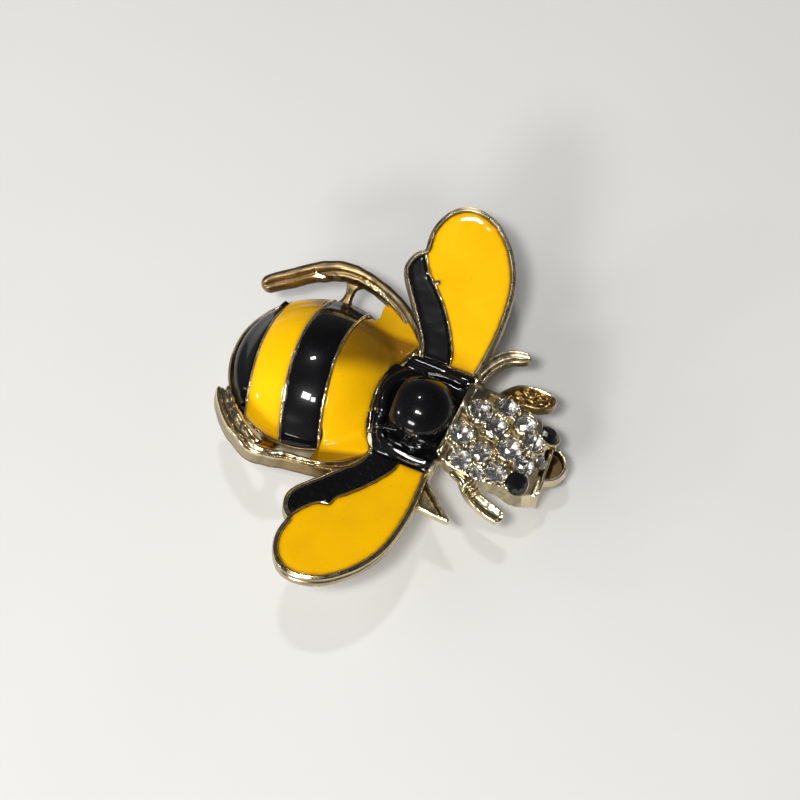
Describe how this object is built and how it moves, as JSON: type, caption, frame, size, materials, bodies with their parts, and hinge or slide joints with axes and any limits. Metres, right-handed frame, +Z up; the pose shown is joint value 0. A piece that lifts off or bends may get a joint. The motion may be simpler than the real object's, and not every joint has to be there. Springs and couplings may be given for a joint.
{
  "type": "bee brooch",
  "caption": "Bee-shaped brooch: gilt casting with enamelled abdomen, thorax and wings, a stone-set head, curved legs and a pin back.",
  "frame": {"origin": "centre of the bounding box's base, on the surface that the brooch lies on", "axes": "+X to the bee's head, +Y to the bee's left wing, +Z up from the surface"},
  "size_m": [0.0363, 0.0459, 0.0099],
  "materials": {
    "gilt_metal": "polished",
    "pin_metal": "satin",
    "yellow_enamel": "gloss",
    "black_enamel": "gloss",
    "clear_stone": "cut",
    "black_stone": "cut"
  },
  "bodies": {
    "root": {"casting": "gilt_metal", "abdomen_tail_black": "black_enamel", "abdomen_rear_yellow": "yellow_enamel", "abdomen_band_black": "black_enamel", "abdomen_front_yellow": "yellow_enamel", "thorax_black": "black_enamel", "left_wing_yellow": "yellow_enamel", "right_wing_yellow": "yellow_enamel", "left_wing_black": "black_enamel", "right_wing_black": "black_enamel", "left_eye": "black_stone", "right_eye": "black_stone", "pin_back": "pin_metal", "stone_1": "clear_stone", "stone_2": "clear_stone", "stone_3": "clear_stone", "stone_4": "clear_stone", "stone_5": "clear_stone", "stone_6": "clear_stone", "stone_7": "clear_stone", "stone_8": "clear_stone", "stone_9": "clear_stone", "stone_10": "clear_stone", "stone_11": "clear_stone", "stone_12": "clear_stone", "stone_13": "clear_stone"}
  },
  "joints": []
}
